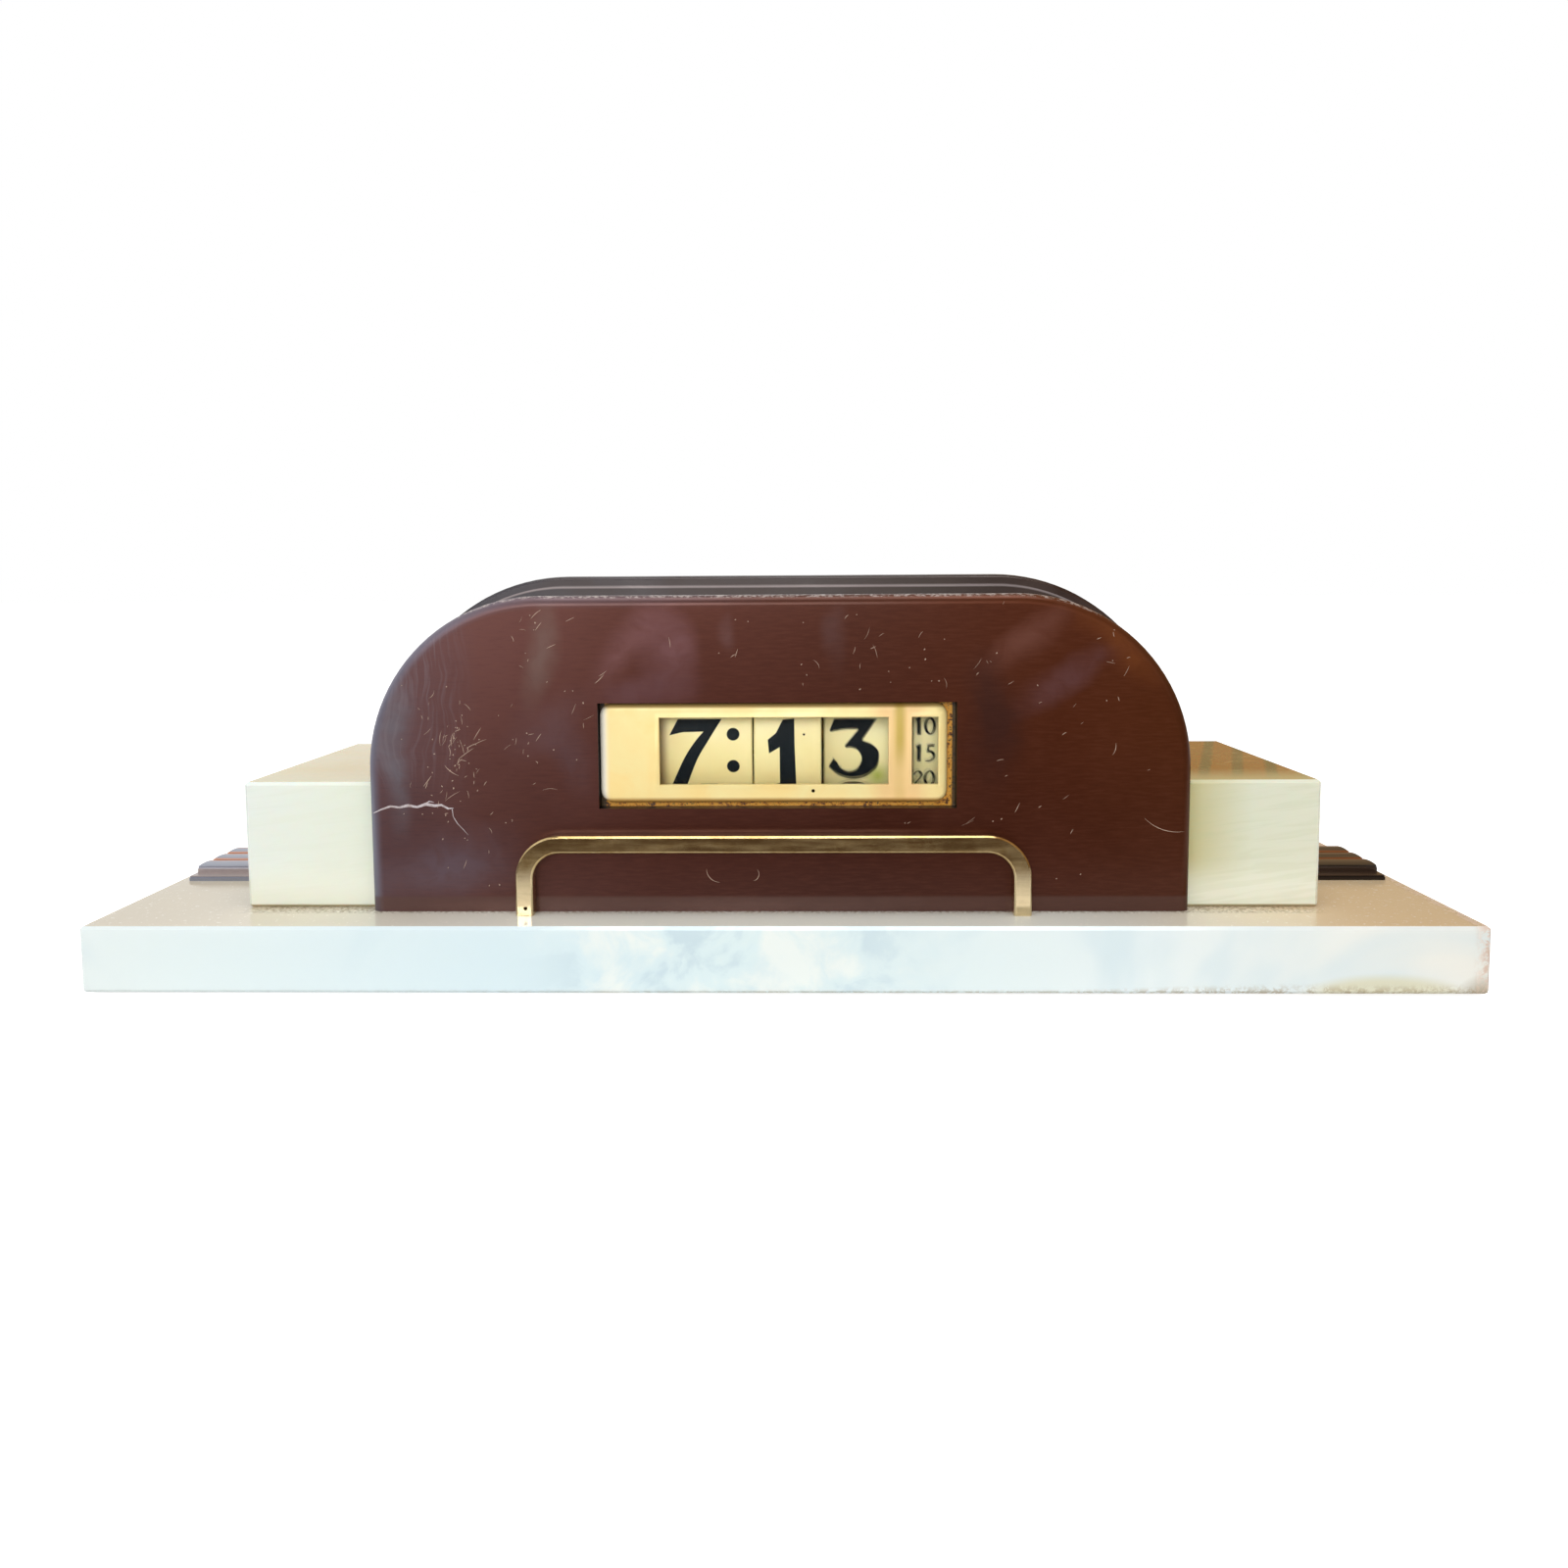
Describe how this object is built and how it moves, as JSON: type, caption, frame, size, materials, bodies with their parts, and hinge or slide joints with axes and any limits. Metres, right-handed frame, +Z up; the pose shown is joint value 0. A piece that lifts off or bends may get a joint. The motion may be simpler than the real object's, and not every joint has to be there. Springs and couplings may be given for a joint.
{
  "type": "cyclometer clock",
  "caption": "Free-standing clock with turning number drums behind a wide window, in an arched bronze case between onyx blocks on an onyx slab, with a brass rail in front.",
  "frame": {"origin": "middle of the underside, on the surface that the clock stands on", "axes": "+X to the right as the reader faces the dial, -Y towards the reader, +Z up"},
  "size_m": [0.33, 0.1, 0.0992],
  "materials": {
    "onyx": "polished",
    "green_onyx": "polished",
    "felt": "matt",
    "bronze": "brushed and lacquered",
    "dark_bronze": "brushed and lacquered",
    "cover": "satin",
    "gilt": "polished",
    "brass": "satin",
    "steel": "satin",
    "can": "plated",
    "coil": "varnished cloth tape over copper",
    "ivory": "satin",
    "bakelite": "satin",
    "rubber": "matt",
    "glass": "clear"
  },
  "bodies": {
    "clock": {"onyx_slab": "onyx", "felt_sheet": "felt", "wing_left": "green_onyx", "wing_right": "green_onyx", "wing_bolts": "steel", "strip_left": "dark_bronze", "strip_right": "dark_bronze", "brass_rail": "gilt", "rail_nuts": "brass", "case_front": "bronze", "front_nuts": "brass", "case_shell": "dark_bronze", "case_bolts": "steel", "crown_moulding": "dark_bronze", "rear_cover": "cover", "rear_screws": "brass", "cord_inlet": "rubber", "bezel": "gilt", "window_pane": "glass", "foot_plate": "steel", "foot_bolts": "steel", "left_plate": "steel", "middle_plate": "steel", "right_plate": "steel", "pillars": "brass", "pillar_nuts": "brass", "main_arbor": "steel", "hour_carry_arm": "brass", "tens_carry_arm": "brass", "motor_can": "can", "motor_core": "steel", "motor_coil": "coil", "motor_screws": "brass", "terminal_block": "bakelite", "terminal_screws": "brass"},
    "hours": {"hour_drum": "ivory"},
    "tens": {"tens_drum": "ivory"},
    "minutes": {"minutes_drum": "ivory"},
    "seconds": {"seconds_arbor": "steel", "seconds_drum": "ivory"},
    "lay": {"lay_arbor": "steel", "lay_wheel": "brass"},
    "hour_carry": {"hour_carry_pinion": "brass"},
    "tens_carry": {"tens_carry_pinion": "brass"},
    "setting": {"set_arbor": "steel", "set_wheel": "bakelite"}
  },
  "joints": [
    {"name": "minutes_spin", "type": "hinge", "parent": "clock", "child": "minutes", "pos_m": [0, 0.00062, 0.0564], "axis": [1, 0, 0], "continuous": true},
    {"name": "tens_spin", "type": "hinge", "parent": "clock", "child": "tens", "pos_m": [0, 0.00062, 0.0564], "axis": [1, 0, 0], "continuous": true},
    {"name": "hours_spin", "type": "hinge", "parent": "clock", "child": "hours", "pos_m": [0, 0.00062, 0.0564], "axis": [1, 0, 0], "continuous": true},
    {"name": "lay_spin", "type": "hinge", "parent": "clock", "child": "lay", "pos_m": [0, 0.00062, 0.0715], "axis": [1, 0, 0], "continuous": true},
    {"name": "seconds_spin", "type": "hinge", "parent": "clock", "child": "seconds", "pos_m": [0, 0.00062, 0.0564], "axis": [1, 0, 0], "continuous": true},
    {"name": "tens_carry_spin", "type": "hinge", "parent": "clock", "child": "tens_carry", "pos_m": [0, 0.01342, 0.0564], "axis": [1, 0, 0], "continuous": true},
    {"name": "hour_carry_spin", "type": "hinge", "parent": "clock", "child": "hour_carry", "pos_m": [0, 0.01342, 0.0564], "axis": [1, 0, 0], "continuous": true},
    {"name": "setting_spin", "type": "hinge", "parent": "clock", "child": "setting", "pos_m": [0, 0.02825, 0.04352], "axis": [1, 0, 0], "continuous": true}
  ],
  "couplings": [
    {"joint": "tens_spin", "follows": "minutes_spin", "ratio": 0.083333},
    {"joint": "hours_spin", "follows": "minutes_spin", "ratio": 0.013889},
    {"joint": "lay_spin", "follows": "minutes_spin", "ratio": 4},
    {"joint": "seconds_spin", "follows": "minutes_spin", "ratio": -5},
    {"joint": "tens_carry_spin", "follows": "minutes_spin", "ratio": 0.25},
    {"joint": "hour_carry_spin", "follows": "minutes_spin", "ratio": 0.041667},
    {"joint": "setting_spin", "follows": "minutes_spin", "ratio": -4}
  ]
}
